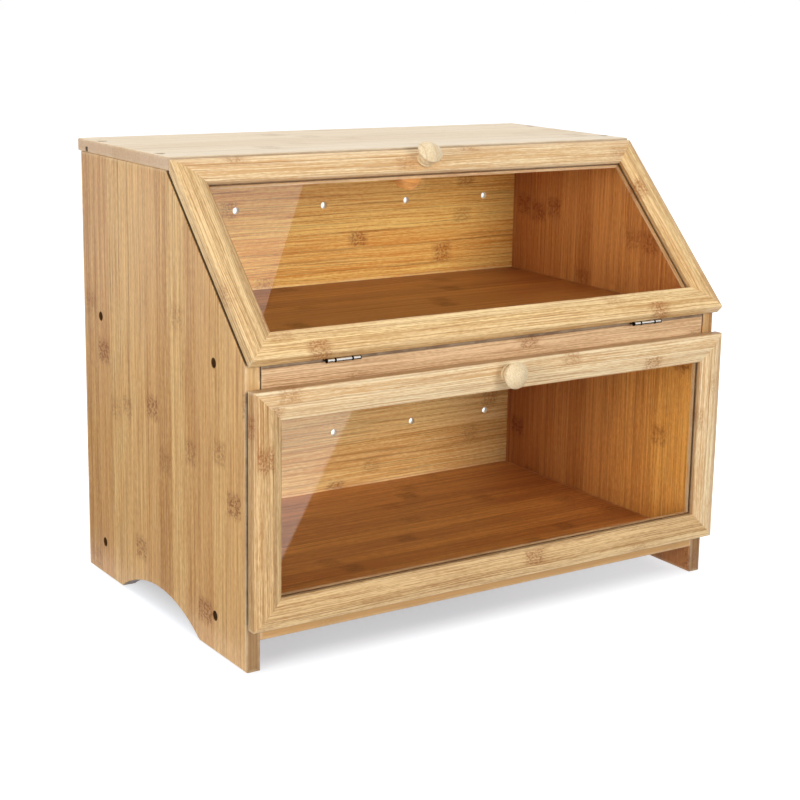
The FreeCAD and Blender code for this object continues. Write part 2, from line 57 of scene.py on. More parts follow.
class Graph:
    """Short calls that build one node tree."""

    def __init__(self, tree):
        self.tree = tree

    def put(self, value, socket):
        """Links a socket into an input, or sets a plain value on it."""
        if isinstance(value, bpy.types.NodeSocket):
            self.tree.links.new(value, socket)
        elif value is not None:
            socket.default_value = value

    def node(self, kind, **settings):
        made = self.tree.nodes.new("ShaderNode" + kind)
        for key, value in settings.items():
            setattr(made, key, value)
        return made

    def math(self, operation, a, b=None, clamp=False):
        made = self.node("Math", operation=operation, use_clamp=clamp)
        self.put(a, made.inputs[0])
        self.put(b, made.inputs[1])
        return made.outputs[0]

    def add(self, first, *rest):
        for value in rest:
            first = self.math("ADD", first, value)
        return first

    def times(self, first, *rest):
        for value in rest:
            first = self.math("MULTIPLY", first, value)
        return first

    def weigh(self, *parts):
        """The sum of values, each given with its share."""
        return self.add(*(self.times(value, share) for value, share in parts))

    def minus(self, a, b):
        return self.math("SUBTRACT", a, b)

    def absolute(self, value):
        return self.math("ABSOLUTE", value)

    def least(self, a, b):
        return self.math("MINIMUM", a, b)

    def most(self, a, b):
        return self.math("MAXIMUM", a, b)

    def smooth(self, value, low, high, to_low=0.0, to_high=1.0):
        """A smooth step from to_low at low to to_high at high."""
        made = self.node("MapRange", interpolation_type="SMOOTHSTEP")
        for socket, given in zip(made.inputs, (value, low, high, to_low, to_high)):
            self.put(given, socket)
        return made.outputs[0]

    def fade(self, value, low, high, share=1.0):
        """A smooth step from share at low down to 0 at high."""
        return self.smooth(value, low, high, share, 0.0)

    def mix(self, factor, a, b, blend="MIX"):
        made = self.node("Mix", data_type="RGBA", blend_type=blend)
        self.put(factor, made.inputs[0])
        self.put(a, made.inputs[6])
        self.put(b, made.inputs[7])
        return made.outputs[2]

    def vector(self, x, y, z):
        made = self.node("CombineXYZ")
        for socket, value in zip(made.inputs, (x, y, z)):
            self.put(value, socket)
        return made.outputs[0]

    def noise(self, vector, scale=1.0, detail=2.0, roughness=0.5):
        """Noise about 0.5 over a vector."""
        made = self.node("TexNoise")
        self.put(vector, made.inputs["Vector"])
        self.put(scale, made.inputs["Scale"])
        self.put(detail, made.inputs["Detail"])
        self.put(roughness, made.inputs["Roughness"])
        return made.outputs[0]

    def random(self, value):
        """A random number and three more, the same wherever value is the same."""
        made = self.node("TexWhiteNoise", noise_dimensions="1D")
        self.put(value, made.inputs["W"])
        parts = self.node("SeparateColor")
        self.put(made.outputs["Color"], parts.inputs[0])
        return made.outputs["Value"], parts.outputs[0], parts.outputs[1], parts.outputs[2]

    def dot(self, vector, axis):
        made = self.node("VectorMath", operation="DOT_PRODUCT")
        self.put(vector, made.inputs[0])
        self.put(axis, made.inputs[1])
        return made.outputs["Value"]

    def bump(self, height, distance, strength=1.0):
        made = self.node("Bump")
        self.put(strength, made.inputs["Strength"])
        self.put(distance, made.inputs["Distance"])
        self.put(height, made.inputs["Height"])
        return made.outputs[0]

    def either(self, share, first, second):
        """The first shader, and by share the second."""
        made = self.node("MixShader")
        for socket, given in zip(made.inputs, (share, first, second)):
            self.put(given, socket)
        return made.outputs[0]

    def surface(self, shader):
        """Makes a shader the material's surface."""
        self.put(shader, self.tree.nodes["Material Output"].inputs["Surface"])


def linear(red, green, blue):
    """An sRGB colour, 0 to 255, as the linear colour that a shader takes."""
    parts = [c / 255 for c in (red, green, blue)]
    return [c / 12.92 if c <= 0.04045 else ((c + 0.055) / 1.055) ** 2.4 for c in parts] + [1.0]


def new_material(name):
    """An empty material, and a Graph of its node tree."""
    material = bpy.data.materials.new(name)
    material.use_nodes = True
    material.node_tree.nodes.remove(material.node_tree.nodes["Principled BSDF"])
    return material, Graph(material.node_tree)


def new_group(name, numbers, colours, outputs):
    """An empty node group: its tree, a Graph of it, its inputs and its outputs."""
    tree = bpy.data.node_groups.new(name, "ShaderNodeTree")
    sockets = [(socket, "INPUT", "NodeSocketFloat") for socket in numbers]
    sockets += [(socket, "INPUT", "NodeSocketColor") for socket in colours]
    sockets += [(socket, "OUTPUT", kind) for socket, kind in outputs]
    for socket, in_out, kind in sockets:
        tree.interface.new_socket(socket, in_out=in_out, socket_type=kind)
    given = tree.nodes.new("NodeGroupInput").outputs
    wanted = tree.nodes.new("NodeGroupOutput").inputs
    return tree, Graph(tree), given, wanted


# ---------------------------------------------------------------- bamboo's grain

AXES = ("Along", "Across", "Depth")
GRAIN_NUMBERS = AXES + (
    "Seed",
    "Strip Width",
    "Ply Split",
    "Strip Contrast",
    "Wander",
    "Fineness",
    "Fibre Contrast",
    "Mark Strength",
)
GRAIN_COLOURS = ("Light Colour", "Dark Colour", "Rosy Colour", "Mark Colour")
GRAIN_OUTPUTS = (("Color", "NodeSocketColor"), ("Sheen", "NodeSocketFloat"), ("Height", "NodeSocketFloat"))

# Joints of the cane: how far apart at least and how much more at most, how far a joint bends, up to where
# its mark is whole and where it ends, and how far the shade behind it reaches.
JOINT_SPACING_MM = 190.0
JOINT_SPACING_MORE_MM = 130.0
JOINT_BEND_MM = 9.0
JOINT_MARK_MM = (4.0, 11.5)
JOINT_SHADE_MM = 34.0
LEAST_JOINT = 0.35

# The grain's sideways wander: cycles per millimetre along the board and across it, and the noise's detail.
DRIFT = (0.005, 0.03, 1.0)
RIPPLE = (0.05, 0.12, 0.0)
RIPPLE_SHARE = 0.2
# How uneven the strips are: changes per strip, and the most that one changes as a share of a strip.
UNEVEN = (0.8, 0.5)
# Steps that give each seed, ply and strip random numbers of its own.
SEED_STEP = 3.7
PLY_KEY = 31.0
SEED_KEY = 57.0
JOINT_TURNS = 9.0
FIBRE_JUMP = 40.0

# Fibre patterns: cycles per millimetre along the grain and across it, the noise's detail and roughness.
BROAD_STREAKS = (0.0025, 0.16, 1.0, 0.5)
CRISP_LINES = (0.0045, 0.6, 2.0, 0.6)
HAIRS = (0.02, 1.4, 1.0, 0.5)
DASHES = (0.22, 1.1, 1.0, 0.5)
VESSELS = (0.009, 0.9, 1.0, 0.5)
FLECKS = (0.5, 0.55, 2.0, 0.6)
# The noise between these two levels turns into a vessel or a fleck, and a strip's chance into a dark seam.
VESSEL_LEVELS = (0.56, 0.64)
FLECK_LEVELS = (0.47, 0.57)
SEAM_CHANCE = (0.35, 0.9)
SEAM_MM = (0.1, 0.7)

# What each pattern does to the colour, as shares.
STREAK_SHARES = (0.5, 1.1, 1.3, 0.8)
SHADE_SHARE = -0.22
ROSY_SHARE = 0.5
MARK_SHARE = 0.26
FLECK_SHARE = 0.55
SEAM_LINE_SHARE = 0.34
VESSEL_SHARE = 0.22

# Wear along a board's edges: between these distances from the edge, and broken up by a noise of this scale
# where it lies between these two levels.
WEAR_MM = (0.3, 2.6)
WEAR_SCALE = 0.11
WEAR_LEVELS = (0.3, 0.65)
LEAST_WEAR = 0.35


def grain_lane(g, given):
    """The place across the grain, which wanders sideways along the board and ripples a little."""
    along, across, seed = (given[k] for k in ("Along", "Across", "Seed"))
    waves = []
    for along_scale, across_scale, detail in (DRIFT, RIPPLE):
        where = g.vector(g.times(along, along_scale), g.times(across, across_scale), seed)
        waves.append(g.minus(g.noise(where, detail=detail), 0.5))
    sway = g.add(waves[0], g.times(waves[1], RIPPLE_SHARE))
    return g.add(across, g.times(sway, given["Wander"]))


def grain_strips(g, given, lane):
    """Laminated strips of uneven width, in two plies.

    Gives the way to the nearest seam as a share of the strip, and four random numbers for the strip.
    """
    seed = given["Seed"]
    count = g.math("DIVIDE", lane, given["Strip Width"])
    changes, most = UNEVEN
    uneven = g.noise(g.vector(g.times(count, changes), seed, 0.0), detail=0.0)
    place = g.add(count, g.times(uneven, most), g.times(seed, SEED_STEP))
    strip = g.math("FLOOR", place)
    within = g.minus(place, strip)
    ply = g.math("GREATER_THAN", given["Depth"], given["Ply Split"])
    key = g.add(strip, g.times(ply, PLY_KEY), g.times(seed, SEED_KEY))
    return g.least(within, g.minus(1.0, within)), g.random(key)


def grain_joints(g, given, lane, to_seam, chances):
    """The cane's joints: the share of a joint's mark, and the share of the shade behind it."""
    gap, turn, hue = chances
    spacing = g.add(JOINT_SPACING_MM, g.times(gap, JOINT_SPACING_MORE_MM))
    cycles = g.add(g.math("DIVIDE", given["Along"], spacing), g.times(turn, JOINT_TURNS))
    uneven = g.noise(g.vector(0.0, g.times(lane, 0.25), given["Seed"]), detail=1.0)
    bent = g.times(g.minus(uneven, 0.5), JOINT_BEND_MM)
    from_joint = g.add(g.times(g.minus(g.math("FRACT", cycles), 0.5), spacing), bent)
    power = g.times(given["Mark Strength"], g.add(LEAST_JOINT, g.times(hue, 1.0 - LEAST_JOINT)))
    near = g.fade(g.absolute(from_joint), *JOINT_MARK_MM)
    mark = g.times(near, g.smooth(to_seam, 0.0, 0.16), power)
    after = g.math("EXPONENT", g.times(g.absolute(from_joint), -1 / JOINT_SHADE_MM))
    return mark, g.times(after, g.math("GREATER_THAN", from_joint, 0.0), power)


def fibre_noise(g, places, pattern, along_jump=0.0, depth_jump=0.0):
    """Noise drawn out along the grain. The jumps part the fibres of one strip from its neighbours'."""
    along_scale, across_scale, detail, roughness = pattern
    where = g.vector(
        g.add(g.times(places[0], along_scale), along_jump),
        g.times(places[1], across_scale),
        g.add(g.times(places[2], across_scale), depth_jump),
    )
    return g.noise(where, detail=detail, roughness=roughness)


def grain_group():
    """The bamboo pattern that every board shares. Along, Across and Depth are in millimetres."""
    tree, g, given, wanted = new_group("bamboo_grain", GRAIN_NUMBERS, GRAIN_COLOURS, GRAIN_OUTPUTS)
    along, depth, fineness = (given[k] for k in ("Along", "Depth", "Fineness"))
    strip_contrast, fibre_contrast = given["Strip Contrast"], given["Fibre Contrast"]
    light, dark, rosy, mark_color = (given[k] for k in GRAIN_COLOURS)
    lane = grain_lane(g, given)
    to_seam, (tone, gap, turn, hue) = grain_strips(g, given, lane)
    mark, shade = grain_joints(g, given, lane, to_seam, (gap, turn, hue))

    # Fibres run the whole length of a strip, apart from short dashes and the flecks in a joint's mark.
    jump = g.times(tone, FIBRE_JUMP)
    thin_lane = g.times(lane, fineness)
    thin = (along, thin_lane, g.times(depth, fineness))
    wide = fibre_noise(g, (along, lane, depth), BROAD_STREAKS)
    lines = fibre_noise(g, thin, CRISP_LINES, along_jump=jump)
    hairs = fibre_noise(g, thin, HAIRS)
    dashes = fibre_noise(g, thin, DASHES)
    vessels = g.smooth(fibre_noise(g, thin, VESSELS, depth_jump=jump), *VESSEL_LEVELS)
    flecks = g.smooth(fibre_noise(g, (along, thin_lane, depth), FLECKS), *FLECK_LEVELS)
    flecked = g.times(mark, flecks)
    patterns = [g.minus(pattern, 0.5) for pattern in (wide, lines, hairs, dashes)]
    streaks = g.weigh(*zip(patterns, STREAK_SHARES))

    # The strip's own tone, streaked, rosier on some strips, then marked and lined with a dark tone.
    level = g.add(
        0.5,
        g.times(g.minus(tone, 0.5), strip_contrast),
        g.times(streaks, fibre_contrast),
        g.times(shade, SHADE_SHARE),
    )
    color = g.mix(g.math("ADD", level, 0.0, clamp=True), dark, light)
    color = g.mix(g.times(hue, strip_contrast, ROSY_SHARE), color, rosy)
    color = g.mix(g.weigh((mark, MARK_SHARE), (flecked, FLECK_SHARE)), color, mark_color)
    at_seam = g.fade(g.times(to_seam, given["Strip Width"]), *SEAM_MM)
    seam = g.times(at_seam, g.smooth(turn, *SEAM_CHANCE))
    dark_lines = g.weigh((seam, SEAM_LINE_SHARE), (g.times(vessels, fibre_contrast), VESSEL_SHARE))
    g.put(g.mix(dark_lines, color, mark_color), wanted["Color"])

    sheen = g.weigh((lines, 0.5), (hairs, 0.2), (mark, 0.4), (vessels, 0.2))
    g.put(sheen, wanted["Sheen"])
    raised = ((lines, 0.5), (hairs, 0.25), (vessels, -0.4), (seam, -0.7), (dashes, 0.25), (flecked, -0.7))
    g.put(g.weigh(*raised), wanted["Height"])
    return tree


def edge_group():
    """Wear along a board's edges, from 0 to 1, broken up as handling wears a lacquered edge. The
    lightening that it drives is also a painted highlight.
    """
    halves = tuple("Half " + k for k in AXES)
    tree, g, given, wanted = new_group("board_edges", AXES + halves, (), (("Wear", "NodeSocketFloat"),))
    a, b, c = (g.minus(given["Half " + k], g.absolute(given[k])) for k in AXES)
    second = g.most(g.least(a, b), g.least(g.most(a, b), c))
    broken = g.noise(g.vector(*(g.times(given[k], WEAR_SCALE) for k in AXES)), detail=3.0)
    near = g.fade(second, *WEAR_MM)
    g.put(g.times(near, g.smooth(broken, *WEAR_LEVELS, LEAST_WEAR, 1.0)), wanted["Wear"])
    return tree


GRAIN = grain_group()
EDGES = edge_group()


# ---------------------------------------------------------------- places on a board


def span(node, axis):
    """The middle and half length of a node along an axis, in millimetres."""
    reach = [axis.dot(v.co) for v in nodes[node].data.vertices]
    low, high = min(reach) * MM, max(reach) * MM
    return (low + high) / 2, (high - low) / 2


def board_axes(g, node, along, across):
    """A board's own coordinates in millimetres from its middle, and its half lengths."""
    place = g.node("TexCoord").outputs["Object"]
    sockets, halves = [], []
    for axis in (along, across, along.cross(across)):
        middle, half = span(node, axis)
        sockets.append(g.minus(g.dot(place, axis * MM), middle))
        halves.append(half)
    return sockets, halves


# A tint on a face is whole down to the first depth in millimetres below the face, and ends at the second.
TINT_DEPTH_MM = (0.15, 0.8)
HOLE_DEPTH_MM = (0.3, 0.6)
INNER_FACE_DEPTH_MM = (0.3, 1.2)
FRONT_EDGE_DEPTH_MM = (0.3, 1.0)
WINDOW_WALL_DEPTH_MM = (0.5, 1.5)
# Half width of the painted shade line where a window meets its frame, and width of the one in a door's
# seam.
WINDOW_LINE_MM = (0.35, 0.8)
CREASE_MM = (1.6, 2.4)
# The front edge is darkened as painted shade between these distances inside the two ends of the shut lower
# door.
SHUT_INSET_MM = (1.0, 3.0)
COMPARTMENT_BLUR_MM = 2.0
# The painted light beside the lower mouth fades between these places, as shares of the panel's half depth.
MOUTH_FADE = (-0.8, 0.3)


def cut_inside(g, places, halves):
    """1 on faces cut inside a board's own box: its holes' walls, a side panel's slope and foot arch."""
    inside = [g.minus(half, g.absolute(place)) for place, half in zip(places, halves)]
    least = g.least(g.least(inside[0], inside[1]), inside[2])
    return g.smooth(least, *HOLE_DEPTH_MM)


def inner_face(g, node, places, halves):
    """1 on the face of a side panel that looks into the compartments."""
    towards = 1.0 if node.startswith("right") else -1.0
    return g.fade(g.minus(halves[2], g.times(places[2], towards)), *INNER_FACE_DEPTH_MM)


def mouth_wall(g, node, inside, places, halves):
    """The part of a side panel's inner face beside the lower compartment, fading out further in, where
    painted light is added.
    """
    middle, _ = span(node, Z)
    floor_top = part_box("bottom_shelf")[1][2] * MM - middle
    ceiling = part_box("middle_shelf")[0][2] * MM - middle
    above = g.smooth(places[0], floor_top - COMPARTMENT_BLUR_MM, floor_top)
    below = g.fade(places[0], ceiling, ceiling + COMPARTMENT_BLUR_MM)
    fade_start, fade_end = MOUTH_FADE
    forward = g.fade(places[1], halves[1] * fade_start, halves[1] * fade_end)
    return g.times(inside, above, below, forward)


def front_edge(g, node, places, halves):
    """Two zones of a side panel's front edge that take painted shade: where the lower door shuts on it,
    and the foot below.
    """
    middle, _ = span(node, Z)
    low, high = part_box("lower_door_left_stile")
    door_foot = low[2] * MM - middle
    door_head = high[2] * MM - middle
    start, whole = SHUT_INSET_MM
    on_front = g.fade(g.add(places[1], halves[1]), *FRONT_EDGE_DEPTH_MM)
    above = g.smooth(places[0], door_foot + start, door_foot + whole)
    below = g.fade(places[0], door_head - whole, door_head - start)
    return g.times(above, below, on_front), g.times(g.minus(1.0, above), on_front)


def depth_side(node):
    """1 where a door board's depth runs into the cabinet, -1 where it runs out of it."""
    return 1.0 if node.endswith("stile") else -1.0


def window_line(g, node, places):
    """1 in two thin lines on a door's frame, in the planes of its window's two faces."""
    door = node.split("_door_")[0]
    depth_axis = Y if door == "lower" else SLOPE_UP.cross(X)
    glass_middle, glass_half = span(door + "_door_window", depth_axis)
    middle, _ = span(node, depth_axis)
    from_glass = g.absolute(g.minus(g.times(places[2], depth_side(node)), glass_middle - middle))
    return g.fade(g.absolute(g.minus(from_glass, glass_half)), *WINDOW_LINE_MM)


def window_wall(g, node, places, halves):
    """1 on the face of a door frame's board that looks at the window."""
    side = 1.0 if node.endswith(("bottom_rail", "left_stile")) else -1.0
    return g.fade(g.minus(halves[1], g.times(places[1], side)), *WINDOW_WALL_DEPTH_MM)


def crease(g, places, halves, sides):
    """1 along the edge of a board where its across and depth faces on the given sides meet."""
    from_across = g.minus(halves[1], g.times(places[1], sides[0]))
    from_depth = g.minus(halves[2], g.times(places[2], sides[1]))
    return g.fade(g.most(from_across, from_depth), *CREASE_MM)


# ---------------------------------------------------------------- tints

# Dark brown as charred wood and as painted shade: in the holes, on a side panel's slope and foot arch, and
# on the front edge behind the shut lower door.
CHAR_AND_SHADE = (52, 30, 15)
# Pale as raw cut bamboo, and painted light on the back panels' vent walls.
RAW_AND_LIT_CREAM = (255, 244, 222)
# Lighter edges, as wear and as a painted highlight.
WORN_AND_HIGHLIGHT_EDGE = (250, 232, 196)
# Painted shade: multiplied over the side panels' inner faces to darken them.
INSIDE_FACE_SHADE = (236, 200, 164)
# Painted shade in the lines where a window meets its frame and along the door seams.
SEAM_SHADE_BROWN = (72, 36, 12)
# Painted shade on a side panel's foot below the lower door.
FOOT_SHADE_BROWN = (112, 72, 38)
# Painted shade on the door frames' faces that look at the windows.
DOOR_WALL_SHADE = (150, 96, 46)
# Linear, since it goes into a dodge blend. It is painted light that brightens the lower compartment's
# walls towards the open mouth.
MOUTH_PAINTED_LIGHT = (0.4, 0.52, 0.46, 1.0)

SEAM_SHADE_SHARE = 0.85
SHUT_SHARE = 0.85
FOOT_SHARE = 0.65
HOLE_SHARE = 0.85
WEAR_AND_HIGHLIGHT_SHARE = 0.3

# The boards whose edge at a door's seam is darkened as painted shade, with the sides of that edge's across
# and depth faces.
SHADE_CREASES = {
    "upper_door_bottom_rail": (-1.0, -1.0),
    "lower_door_bottom_rail": (-1.0, -1.0),
    "middle_front_rail": (1.0, 1.0),
}

# Faces that the photograph shows in another tone: a board's axis, the side of it, share and colour.
ALONG, ACROSS = 0, 1
LOW, HIGH, BOTH = -1, 1, 0
LEFT_FRONT = ((ACROSS, LOW, 0.3, (222, 190, 142)),)
# Painted shade: the right side panel's front edge is darker than the left's.
SHADED_RIGHT_FRONT = ((ACROSS, LOW, 0.3, (140, 96, 54)),)
SHELF_EDGES = ((ACROSS, BOTH, 0.8, (204, 164, 110)),)
TOP_EDGES = ((ALONG, BOTH, 0.5, (184, 128, 74)), (ACROSS, LOW, 0.45, (110, 70, 36)))
# Painted shade: the middle rail's ends are dark as the gaps beside the side panels.
SHADED_RAIL_ENDS = ((ALONG, BOTH, 0.8, (74, 44, 22)),)
# Painted shade: the frames' faces that look at the windows are darker, and the top face of a door's top
# rail is browned as the shade under the upper door.
BELOW_WINDOW = ((ACROSS, HIGH, 0.3, DOOR_WALL_SHADE),)
ABOVE_WINDOW = ((ACROSS, LOW, 0.3, DOOR_WALL_SHADE), (ACROSS, HIGH, 0.5, (176, 124, 72)))
LEFT_OF_WINDOW = ((ACROSS, HIGH, 0.4, DOOR_WALL_SHADE),)
RIGHT_OF_WINDOW = ((ACROSS, LOW, 0.4, DOOR_WALL_SHADE),)


def tint(g, color, zone, share, tone):
    """Mixes an sRGB tone into a colour, by share where the zone is 1."""
    return g.mix(g.times(zone, share), color, linear(*tone))


def tint_faces(g, color, faces, places, halves):
    """Tints whole faces of a board."""
    for axis, side, share, tone in faces:
        reach = g.absolute(places[axis]) if side == BOTH else g.times(places[axis], side)
        at_face = g.fade(g.minus(halves[axis], reach), *TINT_DEPTH_MM, share)
        color = g.mix(at_face, color, linear(*tone))
    return color


def tint_side_panel(g, node, color, places, halves):
    """The inner face darkened as painted shade, painted light towards the lower mouth, and painted shade
    on the front edge behind the shut lower door and on the foot.
    """
    inside = inner_face(g, node, places, halves)
    # Painted shade over the inner face, and painted light near the lower mouth.
    color = g.mix(inside, color, linear(*INSIDE_FACE_SHADE), blend="MULTIPLY")
    mouth_light = mouth_wall(g, node, inside, places, halves)
    color = g.mix(mouth_light, color, MOUTH_PAINTED_LIGHT, blend="DODGE")
    shut, foot = front_edge(g, node, places, halves)
    # Painted shade on the front edge behind the shut lower door, and on the foot.
    color = tint(g, color, shut, SHUT_SHARE, CHAR_AND_SHADE)
    return tint(g, color, foot, FOOT_SHARE, FOOT_SHADE_BROWN)


def tint_board(g, node, color, places, halves, faces, hollow):
    """Everything that a board's colour takes on top of its grain."""
    color = tint_faces(g, color, faces, places, halves)
    if node.endswith("side_panel"):
        color = tint_side_panel(g, node, color, places, halves)
    if node.endswith(("_stile", "_rail")) and "_door_" in node:
        # Painted shade where the window meets the frame.
        window_seat_shade = g.times(window_line(g, node, places), window_wall(g, node, places, halves))
        color = tint(g, color, window_seat_shade, SEAM_SHADE_SHARE, SEAM_SHADE_BROWN)
    if node in SHADE_CREASES:
        # Painted shade along the door's seam.
        seam = crease(g, places, halves, SHADE_CREASES[node])
        color = tint(g, color, seam, SEAM_SHADE_SHARE, SEAM_SHADE_BROWN)
    # The walls of holes and cut faces take the finish's hollow colour: painted shade on the sides and top,
    # painted light on the back panels' vents.
    if hollow:
        color = tint(g, color, cut_inside(g, places, halves), HOLE_SHARE, hollow)
    return color


# ---------------------------------------------------------------- boards


# The lacquer: what the grain's sheen and the wear add to its roughness, its specular level, and the height
# in metres and the strength of the grain's relief.
SHEEN_ROUGHNESS = 0.22
WEAR_ROUGHNESS = 0.08
LACQUER_SPECULAR = 0.45
GRAIN_RELIEF = (0.00022, 0.7)


def lacquered(g, color, sheen, height, wear, gloss):
    """A satin clear lacquer over wood."""
    shader = g.node("BsdfPrincipled")
    # The edges are lightened as wear and as a painted highlight.
    worn_and_highlit = g.mix(g.times(wear, WEAR_AND_HIGHLIGHT_SHARE), color, linear(*WORN_AND_HIGHLIGHT_EDGE))
    g.put(worn_and_highlit, shader.inputs["Base Color"])
    rough = g.add(gloss, g.times(sheen, SHEEN_ROUGHNESS), g.times(wear, WEAR_ROUGHNESS))
    g.put(rough, shader.inputs["Roughness"])
    shader.inputs["Specular IOR Level"].default_value = LACQUER_SPECULAR
    g.put(g.bump(height, *GRAIN_RELIEF), shader.inputs["Normal"])
    g.surface(shader.outputs[0])


def add_grain(g, node, finish, places, seed):
    """The grain group's outputs for one board."""
    made = g.node("Group")
    made.node_tree = GRAIN
    mirror = -1.0 if node.startswith("right") else 1.0
    values = dict(zip(AXES, places))
    values["Seed"] = seed
    values["Ply Split"] = finish["ply_split"] * mirror
    values.update(finish["grain"])
    for name, value in values.items():
        g.put(value, made.inputs[name])
    return made.outputs


def add_edges(g, places, halves):
    """The edge group's outputs for one board."""
    made = g.node("Group")
    made.node_tree = EDGES
    for name, place, half in zip(AXES, places, halves):
        g.put(place, made.inputs[name])
        g.put(half, made.inputs["Half " + name])
    return made.outputs


def board_material(node, finish, along, across, seed, faces):
    """Bamboo for one board, its grain along one axis and its strips side by side along another."""
    material, g = new_material("bamboo_" + node)
    places, halves = board_axes(g, node, along, across)
    grain = add_grain(g, node, finish, places, seed)
    wear = add_edges(g, places, halves)["Wear"]
    color = tint_board(g, node, grain["Color"], places, halves, faces, finish["hollow"])
    lacquered(g, color, grain["Sheen"], grain["Height"], wear, finish["gloss"])
    return material


# A second ply that starts so far from the middle, in millimetres, lies outside every board.
ONE_PLY = 1e3


def look(
    colors,
    strip,
    strips,
    fibres,
    marks,
    fineness=1.0,
    wander=2.0,
    gloss=0.34,
    ply_split=ONE_PLY,
    hollow=None,
):
    """One bamboo finish.

    Its light, dark, rosy and mark colours, the width of its strips in millimetres, the contrast of the
    strips and of the fibres, the strength of the cane's joints, how fine the fibres are, how far the grain
    wanders in millimetres, the lacquer's roughness, the depth in millimetres at which a second ply starts
    and the colour of the holes' walls.
    """
    grain = {name: linear(*color) for name, color in zip(GRAIN_COLOURS, colors)}
    grain["Strip Width"] = strip
    grain["Strip Contrast"] = strips
    grain["Fibre Contrast"] = fibres
    grain["Mark Strength"] = marks
    grain["Fineness"] = fineness
    grain["Wander"] = wander
    return {"grain": grain, "gloss": gloss, "ply_split": ply_split, "hollow": hollow}


SIDES = look(
    ((240, 200, 136), (184, 132, 76), (210, 154, 98), (128, 68, 26)),
    strip=20.0,
    strips=0.6,
    fibres=1.1,
    marks=1.0,
    fineness=0.7,
    wander=1.2,
    ply_split=0.9,
    hollow=CHAR_AND_SHADE,
)
# Painted sheen: the top's colours are lighter and paler than the sides', as light on its lacquer.
SHEENED_TOP = look(
    ((252, 240, 218), (228, 205, 170), (235, 208, 178), (128, 84, 46)),
    strip=22.0,
    strips=0.5,
    fibres=0.8,
    marks=0.4,
    fineness=0.9,
    wander=3.0,
    gloss=0.44,
    hollow=CHAR_AND_SHADE,
)
BACK = {"strip": 15.0, "strips": 0.5, "fibres": 1.5, "marks": 1.0, "wander": 4.0, "hollow": RAW_AND_LIT_CREAM}
UPPER_BACK = look(((255, 222, 132), (220, 148, 60), (232, 162, 82), (134, 64, 14)), **BACK)
LOWER_BACK = look(((255, 230, 160), (222, 166, 92), (232, 178, 106), (136, 72, 22)), **BACK)
# Painted shade: the catch block is darker than the back, as the shade under the top panel.
SHADED_CATCH = look(
    ((232, 172, 98), (190, 122, 58), (204, 138, 76), (120, 60, 16)),
    strip=15.0,
    strips=0.3,
    fibres=0.9,
    marks=0.4,
    wander=4.0,
)
SHELF = {"strip": 18.0, "strips": 0.6, "fibres": 1.4, "marks": 0.8}
# Painted shade: both shelves are darker than the other boards, as the shade inside the compartments; the
# lower one is lighter and the upper darker, as painted light and shade.
SHADED_UPPER_SHELF = look(((204, 138, 66), (146, 84, 34), (162, 96, 44), (80, 40, 12)), **SHELF)
SHADED_LOWER_SHELF = look(((236, 164, 84), (176, 104, 42), (190, 118, 56), (96, 48, 14)), **SHELF)
RAIL = {"strip": 12.0, "strips": 0.45, "fibres": 1.8, "marks": 1.0, "fineness": 1.4, "wander": 4.0}
RAILS = look(((253, 224, 168), (200, 154, 94), (225, 178, 124), (158, 88, 30)), **RAIL)
# A darker copy of the rails' look, as painted shade, for the lower door's bottom rail and left stile and
# the upper left stile.
SHADED_RAILS = look(((240, 208, 154), (182, 138, 84), (208, 160, 110), (150, 86, 34)), **RAIL)
# A lighter copy of the rails' look, as painted light, for the top rails and the lower right stile.
LIT_RAIL = {**RAIL, "strips": 0.4, "fibres": 1.7, "marks": 0.9}
LIT_RAILS = look(((255, 236, 194), (218, 174, 120), (233, 194, 148), (164, 98, 38)), **LIT_RAIL)
FRONT_RAIL = {**RAIL, "strip": 11.0, "fibres": 1.7, "marks": 0.8}
FRONT = look(((246, 214, 168), (194, 150, 102), (220, 170, 130), (150, 92, 42)), **FRONT_RAIL)
KNOBS = look(
    ((247, 232, 198), (222, 192, 146), (232, 204, 164), (160, 116, 70)),
    strip=9.0,
    strips=0.25,
    fibres=0.9,
    marks=0.0,
    fineness=1.2,
    gloss=0.24,
)

